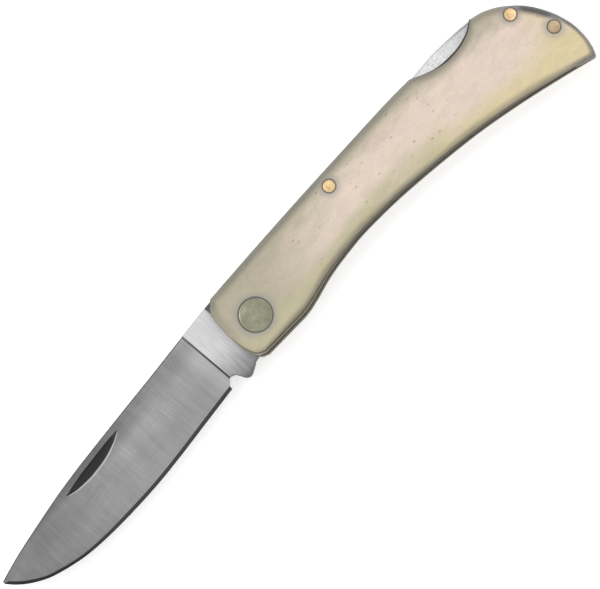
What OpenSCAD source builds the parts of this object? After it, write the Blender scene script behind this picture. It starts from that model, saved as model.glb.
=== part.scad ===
// Lock-back folding pocket knife with bone scales, blade open, lying on its rear scale.
// Millimetres. X runs from the pivot to the butt, Y towards the spine, Z up through the front scale.
// The origin is on the pivot's axis, in the plane that the knife lies on.

/* [Handle] */
// length of the handle from its front edge to the butt
handle_len = 118.3; // [95:0.1:145]
// pivot axis to the handle's front edge
pivot_set = 8.9; // [7.4:0.1:11]
// pivot axis up to the spine
spine_h = 11.8; // [9.8:0.1:14.2]
// pivot axis down to the handle's lower edge
belly_h = 8.4; // [7:0.1:10.1]
// thickness of each bone scale
scale_t = 3.7; // [2.8:0.1:5]
// thickness of each liner
liner_t = 0.9; // [0.6:0.1:1.5]
// how far the rounding of a scale's rim reaches inwards
rim_round = 2; // [1:0.1:2.6]
// height of that rounding
rim_drop = 2.2; // [1:0.1:2.7]

/* [Blade] */
// thickness of the blade at its spine
blade_t = 2.8; // [2:0.1:4]
// space kept between the folded blade's tip and the butt
tip_room = 14.9; // [12:0.1:20]
// pivot axis down to the deepest part of the cutting edge
edge_h = 8; // [6.6:0.1:9]
// thickness of the blade behind the edge bevel
edge_t = 0.5; // [0.3:0.05:1]
// height of the edge bevel
bevel_h = 1; // [0.4:0.1:2]
// depth of the kick that stops the folded blade
kick_h = 8.6; // [7.2:0.1:9.5]
// depth of the nail nick
nick_deep = 0.35; // [0.1:0.05:0.6]
// turn from open to folded
fold_deg = 173; // [165:1:175]

/* [Lock] */
// radius of the tang's lobe about the pivot
tang_r = 7.2; // [6:0.1:8.6]
// step from the lobe forward to the notch's face
notch_step = 0.4; // [0.2:0.1:1]
// length of the lock bar's hook
hook_len = 5; // [3.5:0.1:6]
// how deep the hook drops into the tang's notch
hook_deep = 0.8; // [0.4:0.1:1.2]
// thickness of the lock bar's tail
tail_t = 3.8; // [2.5:0.1:5]
// metal left under the lock bar's pin
bar_wall = 1.6; // [1:0.1:2.5]
// pivot axis to the rocker pin, along the handle
rocker_x = 37.4; // [31:0.1:45]
// depth of the rocker pin below the spine
rocker_deep = 3.9; // [3:0.1:4.6]
// length of the spring's tongue
tongue_len = 22; // [15:0.5:28]
// thickness of the tongue at its root
tongue_t = 2.2; // [1.4:0.1:3]

/* [Pins] */
// diameter of the pivot pin
pivot_d = 4; // [3.2:0.1:5]
// diameter of the round head around it
collar_d = 8.8; // [7.3:0.1:10.6]
// thickness of the head inside the scale
collar_t = 1.6; // [1:0.1:2.5]
// how far the front head bulges out
collar_dome = 0.3; // [0:0.05:0.8]
// diameter of the rocker pin
rocker_d = 3.2; // [2.6:0.1:3.9]
// diameter of the butt pins
butt_pin_d = 3.2; // [2.6:0.1:3.9]

/* [Clearances] */
// blade and lock bar to each liner
side_gap = 0.05; // [0.02:0.01:0.1]
// running clearance around the pivot and rocker pins
run_gap = 0.03; // [0.01:0.01:0.08]
// hook to the notch
lock_gap = 0.06; // [0.03:0.01:0.15]
// lock bar to the tang and the folded blade
bar_gap = 0.12; // [0.05:0.01:0.3]
// lock bar's tail to the back spring
tail_gap = 0.15; // [0.05:0.01:0.3]
// spring's tongue to the lock bar
tongue_gap = 0.02; // [0.01:0.01:0.05]

/* [Hidden] */
$fn = 64;

// heights of the layers, from the resting plane up
well_z = scale_t + liner_t;
well_t = blade_t + 2 * side_gap;
top_liner_z = well_z + well_t;
top_scale_z = top_liner_z + liner_t;
top_z = top_scale_z + scale_t;
blade_z = well_z + side_gap;

// the outlines are drawn at these sizes and stretched from them
butt_x = handle_len - pivot_set;
up = spine_h / 11.8;
down = belly_h / 8.4;
function spread(p) = [p.x > 0 ? p.x * butt_x / 109.4 : p.x * pivot_set / 8.9, p.y > 0 ? p.y * up : p.y * down];
function spreadAll(list) = [for (p = list) spread(p)];

// smooth curve through the points p with n steps to a span, without its last point
function curve(p, n) = [for (i = [0:len(p) - 2], k = [0:n - 1])
    let (t = k / n, a = p[max(i - 1, 0)], b = p[i], c = p[i + 1], d = p[min(i + 2, len(p) - 1)])
    (2 * b + (c - a) * t + (2 * a - 5 * b + 4 * c - d) * t * t + (3 * b - a - 3 * c + d) * t * t * t) / 2];
function backwards(list) = [for (i = [len(list) - 1:-1:0]) list[i]];

// handle outline, clockwise from the front end of the spine
spine_pts = spreadAll([[-4.6, 11.85], [10, 11.6], [30, 11.05], [50, 10.25], [64, 9.6], [71.5, 8.95]]);
thumb_pts = spreadAll([[71.5, 8.95], [75, 6.8], [79, 5.2], [85, 4.5], [90, 5.3], [93.2, 7]]);
butt_pts = spreadAll([[93.2, 7], [97, 5.7], [101, 3], [105, -1.4], [107.6, -6.4], [109, -11.2], [109.4, -15.5],
    [108.8, -20], [107.4, -23.1], [106.4, -23.4]]);
low_pts = spreadAll([[106.4, -23.4], [98, -20.45], [85, -16.25], [70, -12.3], [50, -8.6], [36, -7.05], [28, -6.95],
    [20, -7.45], [13, -8.6], [8.5, -9.05], [3, -8.7], [-5.5, -8.1]]);
front_pts = spreadAll([[-5.5, -8.1], [-7.6, -6.7], [-8.7, -3.5], [-8.9, 0.3], [-8.3, 5.3], [-7.3, 9.1],
    [-4.6, 11.85]]);
butt_rim = curve(butt_pts, 3);
rim = backwards(concat(curve(spine_pts, 4), curve(thumb_pts, 4), butt_rim, curve(low_pts, 3), curve(front_pts, 3)));
// height of the spine at x, and of the lock bar where the thumb cut-out bares it
spine_line = concat(spine_pts, spreadAll([[80, 8.95], [85, 8.45], [90, 7.75], [93.5, 7.05]]));
function spineAt(x) = lookup(x, spine_line);

// a point on the handle's rim moved inwards by d, towards a line down the middle of the handle
core_a = spread([0, 1.5]);
core_b = spread([98, -8]);
function inward(p, d) = let (run = core_b - core_a, t = max(0, min(1, (p - core_a) * run / (run * run))),
    to = core_a + t * run - p) p + to * d / norm(to);

// closed skin through copies of the rim, each ring given as [distance inwards, height]
module loft(rings) {
    n = len(rim);
    m = len(rings);
    polyhedron([for (r = rings, p = rim) let (q = inward(p, r[0])) [q.x, q.y, r[1]]],
        concat([[for (i = [0:n - 1]) i]], [[for (i = [n - 1:-1:0]) (m - 1) * n + i]],
            [for (j = [0:m - 2], i = [0:n - 1], half = [0, 1]) let (a = j * n + i, b = j * n + (i + 1) % n)
                half == 0 ? [a, b + n, b] : [a, a + n, b + n]]));
}
// rounding of a scale's rim: from the upright side to the flat face in quarter-ellipse steps
function rounding(z_face, dir) = [for (a = [0:18:90])
    [rim_round * (1 - cos(a)), z_face - dir * rim_drop * (1 - sin(a))]];
// the handle's outer shape, run on past both flat faces for the pieces to be cut from
module handleSolid() loft(concat([[rim_round, -1]], backwards(rounding(0, -1)), rounding(top_z, 1),
    [[rim_round, top_z + 1]]));

// blade, at rest pointing along -X
blade_len = butt_x - tip_room;
plunge_x = -16.4;
reach = (blade_len + plunge_x) / 78.1;
shift = edge_h / 8;
// stations along the ground part: x, spine height, edge height
stations = [for (s = [[-18.4, 11.5, -7], [-30, 11.15, -7.5], [-40, 10.95, -7.95], [-50, 10.7, -8.12],
        [-60, 10.38, -7.7], [-68, 9.88, -7], [-75, 9.18, -5.9], [-81, 8.5, -4.15], [-86, 7.88, -2.1],
        [-90, 7.22, 0.6], [-92.6, 6.75, 3.1], [-94.5, 6.35, 5.6]])
    [plunge_x + (s[0] - plunge_x) * reach, s[1] * up, s[2] > 0 ? s[2] * up : s[2] * shift]];
tip = stations[len(stations) - 1];
ground = concat(curve(stations, 4), [tip]);
function widthAt(s) = s[1] - s[2];
function folded(p) = [p.x * cos(fold_deg) - p.y * sin(fold_deg), p.x * sin(fold_deg) + p.y * cos(fold_deg)];

// one cross-section of the ground part: flat faces from the spine to a shoulder, then the bevel
function section(x, y_top, y_low, bevel, half) = [[x, y_top, half], [x, y_low + bevel, edge_t / 2], [x, y_low, 0],
    [x, y_low + bevel, -edge_t / 2], [x, y_top, -half]];
function halfAt(s) = edge_t / 2 + (blade_t - edge_t) / 2 * pow(min(1, widthAt(s) / widthAt(ground[0])), 0.7);
choil_y = -4.6 * shift;
sections = concat([section(plunge_x + 0.3, 11.55 * up, choil_y, 0.05, blade_t / 2),
        section(plunge_x, 11.55 * up, choil_y, 0.05, blade_t / 2),
        section(-17.6, 11.53 * up, -5.4 * shift, 0.05, blade_t / 2),
        section(-18.3, 11.51 * up, -6.1 * shift, 0.05, blade_t / 2)],
    [for (s = ground) section(s[0], s[1], s[2], min(bevel_h, widthAt(s) / 3), s == tip ? edge_t / 3 : halfAt(s))]);
module groundBlade() {
    m = len(sections);
    polyhedron([for (s = sections, p = s) p],
        concat([[4, 3, 2, 1, 0]], [[for (i = [0:4]) (m - 1) * 5 + i]],
            [for (j = [0:m - 2], i = [0:4], half = [0, 1]) let (a = j * 5 + i, b = j * 5 + (i + 1) % 5)
                half == 0 ? [a, b, b + 5] : [a, b + 5, a + 5]]));
}

// lock: the hook's ends and the notch that takes it
notch_x = -tang_r - notch_step;
rocker_y = spineAt(rocker_x) - rocker_deep;
// the hook's front swings forward as it drops, so its gap grows with its height above the rocker
hook_a = notch_x + lock_gap + hook_deep / rocker_x * (spine_h - rocker_y);
hook_b = hook_a + hook_len;
notch_b = hook_b + lock_gap;
lobe_y = sqrt(tang_r * tang_r - notch_b * notch_b);
hook_y = lobe_y + bar_gap;
notch_y = hook_y - hook_deep - lock_gap;
rock = hook_deep / (rocker_x - (hook_a + hook_b) / 2);
function fall(x) = rock * max(0, rocker_x - x);

lobe_from = atan2(lobe_y, notch_b);
kick_k = kick_h / 8.6;
kick_pts = [for (p = [[-8.5, -7], [-10, -7.6], [-12.2, -8.55], [-13.2, -8.5], [-14, -7.8], [-14.6, -6.4], [-15.2, -5.2]])
    [p.x, p.y * kick_k]];
kick = kick_pts[2];
heel = [stations[0][0], stations[0][2]];
tang_pts = concat([[plunge_x, 11.55 * up], [notch_x, spine_h], [notch_x, notch_y], [notch_b, notch_y]],
    [for (i = [0:40]) let (a = lobe_from - i * (lobe_from + 108) / 40) tang_r * [cos(a), sin(a)]],
    kick_pts, [[plunge_x, choil_y]]);

nick_pts = concat(curve([[-66.8, 7.75], [-60, 8.45], [-50, 8.8], [-46, 8.75]], 4),
    curve([[-46, 8.75], [-50.5, 6.95], [-56, 5.95], [-62, 6.35], [-66.8, 7.75]], 4));

module blade() color([0.62, 0.63, 0.64]) difference() {
    translate([0, 0, blade_z + blade_t / 2]) union() {
        groundBlade();
        translate([0, 0, -blade_t / 2]) linear_extrude(blade_t) polygon(tang_pts);
    }
    translate([0, 0, blade_z - 1]) cylinder(r = pivot_d / 2 + run_gap, h = blade_t + 2);
    // flat on the lobe that lets the hook seat when the blade is folded
    rotate([0, 0, -fold_deg]) translate([notch_x - 2, notch_y, blade_z - 1])
        cube([notch_b + bar_gap - notch_x + 2, tang_r, blade_t + 2]);
    // nail nick in the front face
    translate([0, 0, blade_z + blade_t - 0.2 - nick_deep]) linear_extrude(2)
        polygon([for (p = nick_pts) [plunge_x + (p.x - plunge_x) * reach, p.y * up]]);
}

// lock bar: spine edge, rounded tail about the rocker, then the underside back to the hook
tail_x = spread([93.35, 0]).x;
tail_r = norm([tail_x - rocker_x, spineAt(tail_x) - rocker_y]);
tail_y = spineAt(tail_x) - tail_t;
// radius of the back spring's face behind the tail, where the tongue starts and where it ends
face_r = tail_r + tail_gap;
tongue_root = rocker_x + face_r;
tongue_x = tongue_root - tongue_len;
kick_in = folded(kick);
heel_in = folded(heel);
mid_in = folded([ground[6][0], ground[6][2]]);
bar_top = [for (x = concat([hook_a, -4.6, 4, 14, 24], [for (i = [0:9]) rocker_x + i * (tail_x - rocker_x) / 10]))
    [x, min(spineAt(x), x < 0 ? spine_h : 99)]];
bar_tail = [for (i = [0:4]) let (y = spineAt(tail_x) - i * tail_t / 4 - rocker_y)
    [rocker_x + sqrt(tail_r * tail_r - y * y), y + rocker_y]];
bar_low = [[tongue_x - 1.5, tail_y], [rocker_x + 18, tail_y - 0.4], [rocker_x + 9, min(tail_y, rocker_y - rocker_d / 2 - bar_wall)],
    [rocker_x, rocker_y - rocker_d / 2 - bar_wall],
    [max(heel_in.x + 8, rocker_x - 9), max(rocker_y - rocker_d / 2 - bar_wall + 0.8, mid_in.y + fall(mid_in.x))],
    [heel_in.x + 1.2, heel_in.y + fall(heel_in.x) + 3 * bar_gap],
    [kick_in.x + 1.6, kick_in.y + fall(kick_in.x - 2) + bar_gap],
    [kick_in.x - 2, kick_in.y + fall(kick_in.x - 2) + bar_gap],
    [tang_r / 2, tang_r + fall(hook_b) + bar_gap], [hook_b, tang_r + fall(hook_b) + bar_gap],
    [hook_b, hook_y], [hook_a, hook_y]];

module lock_bar() color([0.8, 0.8, 0.81]) translate([0, 0, blade_z]) difference() {
    linear_extrude(blade_t) polygon(concat(bar_top, bar_tail, bar_low));
    translate([rocker_x, rocker_y, -1]) cylinder(r = rocker_d / 2 + run_gap, h = blade_t + 2);
}

// back spring: a base that fills the butt and a tongue under the lock bar's tail
upper_pin = spread([101, -0.5]);
lower_pin = spread([105.8, -11.2]);
base_wall = butt_pin_d / 2 + 1.6;
spring_face = [for (i = [5:-1:0]) let (y = spineAt(tail_x) - i * (tail_t + tongue_t / 2) / 5 - rocker_y)
    [rocker_x + sqrt(face_r * face_r - y * y), y + rocker_y]];
tongue_top = tail_y - tongue_gap;
spring_pts = concat(spring_face, [for (p = butt_rim) if (p.x > tongue_root + 0.4) p], [spread([106.4, -23.4]),
        spread([101.6, -21.7])],
    curve([spread([101.6, -21.7]), lower_pin - [base_wall + 1.2, 4], lower_pin - [base_wall + 0.3, -2],
        upper_pin - [base_wall - 1, 3.6], [tongue_root + 0.5, tongue_top - 1.5 * tongue_t],
        [tongue_x + 4, tongue_top - 0.75 * tongue_t], [tongue_x, tongue_top - 0.55 * tongue_t]], 3),
    [[tongue_x, tongue_top - 0.55 * tongue_t], [tongue_x - 0.4, tongue_top - 0.3 * tongue_t],
        [tongue_x, tongue_top], [tongue_x + 3, tongue_top]]);

module back_spring() color([0.6, 0.6, 0.61]) difference() {
    translate([0, 0, well_z]) linear_extrude(well_t) polygon(spring_pts);
    for (p = [upper_pin, lower_pin]) translate([p.x, p.y, 0]) cylinder(d = butt_pin_d, h = top_z);
}

// holes for every pin, through whatever they are cut from
module pinHoles() {
    translate([0, 0, -1]) cylinder(d = pivot_d, h = top_z + 2);
    translate([rocker_x, rocker_y, -1]) cylinder(d = rocker_d, h = top_z + 2);
    for (p = [upper_pin, lower_pin]) translate([p.x, p.y, -1]) cylinder(d = butt_pin_d, h = top_z + 2);
}
module liner(z) color([0.45, 0.44, 0.38]) difference() {
    translate([0, 0, z]) linear_extrude(liner_t) polygon(rim);
    pinHoles();
}
module front_liner() liner(top_liner_z);
module rear_liner() liner(scale_t);

// the part of the handle's rounded shape between two heights, less its pins
module slab(z, h) difference() {
    intersection() {
        handleSolid();
        translate([-2 * pivot_set, -2 * handle_len, z]) cube([2 * handle_len, 4 * handle_len, h]);
    }
    pinHoles();
}
module front_scale() color([0.88, 0.83, 0.74]) difference() {
    slab(top_scale_z, scale_t);
    translate([0, 0, top_z - collar_t]) cylinder(d = collar_d, h = collar_t + 1);
}
module rear_scale() color([0.88, 0.83, 0.74]) difference() {
    slab(0, scale_t);
    translate([0, 0, -1]) cylinder(d = collar_d, h = collar_t + 1);
}

// the front head's outer shape: a disc with a low dome
module domedDisc() rotate_extrude() polygon(concat([[0, top_z - collar_t], [collar_d / 2, top_z - collar_t]],
    [for (i = [0:8]) let (s = 1 - i / 8) [s * collar_d / 2, top_z + collar_dome * (1 - s * s)]]));
module pivot_pin() color([0.7, 0.7, 0.66]) {
    cylinder(d = pivot_d, h = top_z - collar_t / 2);
    intersection() {
        domedDisc();
        cylinder(d = pivot_d, h = top_z + 2);
    }
}
module front_collar() color([0.6, 0.6, 0.53]) difference() {
    domedDisc();
    cylinder(d = pivot_d, h = top_z + 2);
}
module rear_collar() color([0.6, 0.6, 0.53]) difference() {
    cylinder(d = collar_d, h = collar_t);
    translate([0, 0, -1]) cylinder(d = pivot_d, h = collar_t + 2);
}

// a pin ground off level with the rounded rims of both scales
module flushPin(x, y, d) intersection() {
    translate([x, y, 0]) cylinder(d = d, h = top_z);
    handleSolid();
}
module rocker_pin() color([0.86, 0.72, 0.47]) translate([rocker_x, rocker_y, 0]) cylinder(d = rocker_d, h = top_z);
module upper_butt_pin() color([0.86, 0.72, 0.47]) flushPin(upper_pin.x, upper_pin.y, butt_pin_d);
module lower_butt_pin() color([0.78, 0.62, 0.5]) flushPin(lower_pin.x, lower_pin.y, butt_pin_d);

blade();
lock_bar();
back_spring();
front_liner();
rear_liner();
front_scale();
rear_scale();
pivot_pin();
front_collar();
rear_collar();
rocker_pin();
upper_butt_pin();
lower_butt_pin();
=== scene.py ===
from types import SimpleNamespace
import bpy
import numpy as np
from mathutils import Matrix, Vector


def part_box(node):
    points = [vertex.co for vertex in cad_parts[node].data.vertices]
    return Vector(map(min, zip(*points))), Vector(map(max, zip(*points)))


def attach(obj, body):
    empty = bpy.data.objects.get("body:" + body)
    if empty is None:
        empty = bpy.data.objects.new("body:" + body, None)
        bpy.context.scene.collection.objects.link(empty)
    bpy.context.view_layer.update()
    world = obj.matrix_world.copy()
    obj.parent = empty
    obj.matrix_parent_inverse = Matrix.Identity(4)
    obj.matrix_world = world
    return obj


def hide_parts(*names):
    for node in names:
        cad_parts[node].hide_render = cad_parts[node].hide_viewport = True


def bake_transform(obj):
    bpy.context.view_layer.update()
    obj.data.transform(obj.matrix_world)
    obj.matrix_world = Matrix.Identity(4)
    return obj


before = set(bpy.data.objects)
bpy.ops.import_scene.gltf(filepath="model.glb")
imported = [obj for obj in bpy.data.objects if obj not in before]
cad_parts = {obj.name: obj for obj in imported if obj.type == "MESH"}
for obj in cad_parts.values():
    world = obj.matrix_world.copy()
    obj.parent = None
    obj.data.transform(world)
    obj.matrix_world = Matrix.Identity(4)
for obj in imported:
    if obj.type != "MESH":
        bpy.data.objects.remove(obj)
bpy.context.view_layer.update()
mm = 0.001

# places that the pieces share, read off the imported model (mm)
def centreOf(node):
    low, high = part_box(node)
    return [(low[i] + high[i]) / 2 / mm for i in range(3)]

def heightsOf(node):
    low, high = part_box(node)
    return low[2] / mm, high[2] / mm

rockerAt = centreOf("rocker_pin")
upperPinAt = centreOf("upper_butt_pin")
lowerPinAt = centreOf("lower_butt_pin")
scaleTop = heightsOf("front_scale")[1]
midZ = scaleTop / 2
linerTop = heightsOf("front_liner")[1]
print("frame loaded with", len(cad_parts), "nodes, the handle is", round(scaleTop, 2), "mm thick")


# shape tools

# smooth curve through the points; between b and c, with a before and d after, it is
# half of (2b + (c - a)t + (2a - 5b + 4c - d)t^2 + (3b - a - 3c + d)t^3)
def smoothCurve(points, steps):
    p = np.array(points, float)
    q = np.vstack([p[:1], p, p[-1:]])
    i = np.repeat(np.arange(len(p) - 1), steps)
    t = np.tile(np.arange(steps) / steps, len(p) - 1)[:, None]
    a, b, c, d = q[i], q[i + 1], q[i + 2], q[i + 3]
    curve = 2 * b + (c - a) * t + (2 * a - 5 * b + 4 * c - d) * t ** 2 + (3 * b - a - 3 * c + d) * t ** 3
    return np.vstack([curve / 2, p[-1:]])

# points moved to even steps of length along the path, corners kept
def evenSteps(path, step):
    gap = np.linalg.norm(np.diff(path, axis=0), axis=1)
    s = np.concatenate([[0], np.cumsum(gap)])
    n = max(2, int(round(s[-1] / step)) + 1)
    at = np.linspace(0, s[-1], n)
    return np.stack([np.interp(at, s, path[:, k]) for k in range(2)], axis=1)

# closed outline from several open paths, each resampled on its own so that its ends stay sharp
def joinPaths(paths, step):
    return np.vstack([evenSteps(np.array(p, float), step)[:-1] for p in paths])

# outward normals of a closed counter-clockwise outline: the chord between both neighbours, turned right
def outlineNormals(path):
    along = np.roll(path, -1, axis=0) - np.roll(path, 1, axis=0)
    out = np.stack([along[:, 1], -along[:, 0]], axis=1)
    return out / np.maximum(np.linalg.norm(out, axis=1), 1e-9)[:, None]

def counterClockwise(path):
    x, y = path[:, 0], path[:, 1]
    return path if np.sum(x * np.roll(y, -1) - np.roll(x, -1) * y) > 0 else path[::-1]

# mesh object from rings of points: ring i, point j joins ring i+1, point j+1, and a flat cap closes each end
def ringMesh(name, rings, sharpAngle=32, attributes=None):
    count, around = rings.shape[:2]
    verts = rings.reshape(-1, 3) * mm
    i = np.arange(count - 1)[:, None] * around
    j = np.arange(around)[None, :]
    k = (j + 1) % around
    quads = np.stack([i + j, i + k, i + around + k, i + around + j], axis=-1).reshape(-1, 4)
    faces = quads.tolist() + [list(range(around))[::-1], list(range((count - 1) * around, count * around))]
    mesh = bpy.data.meshes.new(name)
    mesh.from_pydata(verts.tolist(), [], faces)
    mesh.polygons.foreach_set("use_smooth", np.ones(len(faces), bool))
    mesh.set_sharp_from_angle(angle=np.radians(sharpAngle))
    for key, values in (attributes or {}).items():
        layer = mesh.attributes.new(key, "FLOAT", "POINT")
        layer.data.foreach_set("value", np.ascontiguousarray(values, dtype=np.float32).ravel())
    mesh.update()
    obj = bpy.data.objects.new(name, mesh)
    bpy.context.scene.collection.objects.link(obj)
    return obj

# flat plate: the outline stepped in by the bevel at both faces, and level walls between (wallMask 1)
def plateMesh(name, outline, low, high, bevel):
    path = counterClockwise(outline)
    out = outlineNormals(path)
    levels = [(-bevel, low), (-bevel * 0.3, low + bevel * 0.3), (0, low + bevel),
              (0, high - bevel), (-bevel * 0.3, high - bevel * 0.3), (-bevel, high)]
    rings = np.stack([np.column_stack([path + out * shift, np.full(len(path), z)]) for shift, z in levels])
    onWall = np.repeat(np.array([0, 1, 1, 1, 1, 0])[:, None], len(path), axis=1)
    return ringMesh(name, rings, sharpAngle=12, attributes={"wallMask": onWall})

# turned shape: each (radius, height) of the profile carried round the axis at x, y
def turnedMesh(name, profile, x, y, around=96):
    angle = np.arange(around) * 2 * np.pi / around
    r, z = np.array(profile, float).T
    rings = np.stack([x + r[:, None] * np.cos(angle), y + r[:, None] * np.sin(angle),
                      np.repeat(z[:, None], around, axis=1)], axis=-1)
    return ringMesh(name, rings)


# outlines, on the same points as the solids

spinePath = smoothCurve([[-4.6, 11.85], [10, 11.6], [30, 11.05], [50, 10.25], [64, 9.6], [71.5, 8.95]], 12)
thumbPath = smoothCurve([[71.5, 8.95], [75, 6.8], [79, 5.2], [85, 4.5], [90, 5.3], [93.2, 7]], 12)
buttPath = smoothCurve([[93.2, 7], [97, 5.7], [101, 3], [105, -1.4], [107.6, -6.4], [109, -11.2],
                        [109.4, -15.5], [108.8, -20], [107.4, -23.1], [106.4, -23.4]], 12)
lowPath = smoothCurve([[106.4, -23.4], [98, -20.45], [85, -16.25], [70, -12.3], [50, -8.6], [36, -7.05],
                       [28, -6.95], [20, -7.45], [13, -8.6], [8.5, -9.05], [3, -8.7], [-5.5, -8.1]], 12)
frontPath = smoothCurve([[-5.5, -8.1], [-7.6, -6.7], [-8.7, -3.5], [-8.9, 0.3], [-8.3, 5.3], [-7.3, 9.1],
                         [-4.6, 11.85]], 12)
rim = counterClockwise(joinPaths([spinePath, thumbPath, buttPath, lowPath, frontPath], 0.3))


scaleLook = {
    "round": 2.5,       # rounding along the spine, belly and butt
    "roundFront": 0.7,  # rounding where the blade leaves the handle
    "roundThumb": 1.0,  # rounding in the thumb cut-out
    "roundGuard": 1.5,  # rounding on the belly below the pivot
    "roundHigh": 0.9,   # height of a rounding as a share of its width
    "frontX": (-5.2, -6.8),  # where each of these takes over along X
    "thumbX": (71.2, 73.2, 93.6, 92.1),
    "guardX": (24, 12),
    "crown": 0.32,      # rise of the face from its rounding to its middle
    "flatFrom": 5.2,    # distance from the rim where the face becomes flat
    "linerEdge": 0.12,  # small break at the liner
}
handleMiddle = np.array([[0, 1.5], [98, -8.0]])

# directions from rim points towards the nearest point on the line down the middle of the handle
def inwardFrom(path):
    start, end = handleMiddle
    run = end - start
    t = np.clip((path - start) @ run / (run @ run), 0, 1)
    to = start + t[:, None] * run - path
    return to / np.linalg.norm(to, axis=1)[:, None]

# 0 at start, 1 at end, straight between
def ramp(x, start, end):
    return np.clip((x - start) / (end - start), 0, 1)

# width of the rounding at each rim point, averaged over nine neighbours along the rim
def roundingAlong(path, look):
    x, y = path.T
    front = ramp(x, *look["frontX"])
    thumb = ramp(x, *look["thumbX"][:2]) * ramp(x, *look["thumbX"][2:]) * (y > 0)
    r = look["round"] + (look["roundFront"] - look["round"]) * front
    r = r + (look["roundThumb"] - r) * thumb
    guard = ramp(x, *look["guardX"]) * (1 - front) * (y < 0)
    r = r + (look["roundGuard"] - r) * guard
    kernel = np.ones(9) / 9
    return np.convolve(np.concatenate([r[-4:], r, r[:4]]), kernel, mode="valid")

# rings from the liner up the side and over the face, each a step further in from the rim
def scaleMesh(name, look, linerZ, faceZ):
    up = 1 if faceZ > linerZ else -1
    inward = inwardFrom(rim)
    r = roundingAlong(rim, look)
    crown = look["crown"] * r / look["round"]
    flat = look["flatFrom"]
    rings = []
    for d, z in ((look["linerEdge"], 0), (0, look["linerEdge"])):
        rings.append((np.full(len(rim), d), linerZ + up * np.full(len(rim), z)))
    # quarter-ellipse rounding, then a parabola that levels out where the face is flat
    for a in np.radians(np.linspace(0, 90, 13)):
        d = r * (1 - np.cos(a))
        z = faceZ - up * (crown * (1 - d / flat) ** 2 + look["roundHigh"] * r * (1 - np.sin(a)))
        rings.append((d, z))
    for t in np.linspace(0, 1, 9)[1:]:
        d = r + (flat - r) * t
        rings.append((d, faceZ - up * crown * (1 - d / flat) ** 2))
    points = np.stack([np.column_stack([rim + inward * d[:, None], z]) for d, z in rings])
    if up < 0:
        points = points[::-1]
    depth = np.stack([d for d, z in rings])[::up]
    return ringMesh(name, points, sharpAngle=50, attributes={"rimDistance": depth})

frontScale = scaleMesh("boneScaleFront", scaleLook, *heightsOf("front_scale"))
rearScale = scaleMesh("boneScaleRear", scaleLook, *heightsOf("rear_scale")[::-1])
print("bone scales made")


linerLook = {"inset": 0.08, "bevel": 0.1}

# plate on the rim moved inwards by the inset, as high as the node
def linerMesh(name, node, look):
    outline = rim + inwardFrom(rim) * look["inset"]
    low, high = heightsOf(node)
    return plateMesh(name, outline, low, high, look["bevel"])

frontLiner = linerMesh("linerFront", "front_liner", linerLook)
rearLiner = linerMesh("linerRear", "rear_liner", linerLook)
print("liners made")


bladeLook = {
    "plungeX": -16.4,   # where the grind meets the full-thickness ricasso
    "plungeWide": 0.45, # width of the grind's curved start
    "intoTang": 0.3,    # how far the ground part reaches into the ricasso
    "fullHigh": 18.4,   # height of a section that is ground to its full thickness at the spine
    "thick": heightsOf("blade")[1] - heightsOf("blade")[0],
    "hair": 0.002,      # how far its start hides under the ricasso's faces
    "edgeHalf": 0.015,  # half thickness of the edge itself
    "behindEdge": 0.5,  # thickness behind the edge bevel
    "bevel": 1.0,       # height of the edge bevel
    "grindSet": 0.1,    # how far the grind sits under the ricasso at the spine
    "nickDeep": 0.34,   # depth of the nail nick
    "nickHighlight": 0.3,   # width of the painted highlight line on its lower lip
    "spineBreak": 0.3,  # rounding of the spine's corners
    "nickLip": np.array([[-67, 7.85], [-60, 8.55], [-50, 8.85], [-45.8, 8.85]]),
    "nickBelly": [[-67, 7.8], [-64, 6.75], [-60.3, 6.15], [-57.5, 6.05], [-53, 6.35], [-49, 7.35],
                  [-45.8, 8.8]],
    # lower outline from the plunge to the heel (x without its sign), then the bevel's height along the tip
    "choil": np.array([[16.4, -4.6], [17.0, -4.85], [17.6, -5.35], [18.1, -5.95], [18.35, -6.2]]),
    "tipBevel": np.array([[-94, 1.5], [-91, 1.2], [-86, 0.88], [-76, 0.79]]),
}
# spine and edge heights along the blade: x, top, bottom
stations = np.array([[-18.4, 11.5, -7], [-30, 11.15, -7.5], [-40, 10.95, -7.95], [-50, 10.7, -8.12],
                     [-60, 10.38, -7.7], [-68, 9.88, -7], [-75, 9.18, -5.9], [-81, 8.5, -4.15],
                     [-86, 7.88, -2.1], [-90, 7.22, 0.6], [-92.6, 6.75, 3.1], [-94.5, 6.35, 5.6]])

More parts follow.
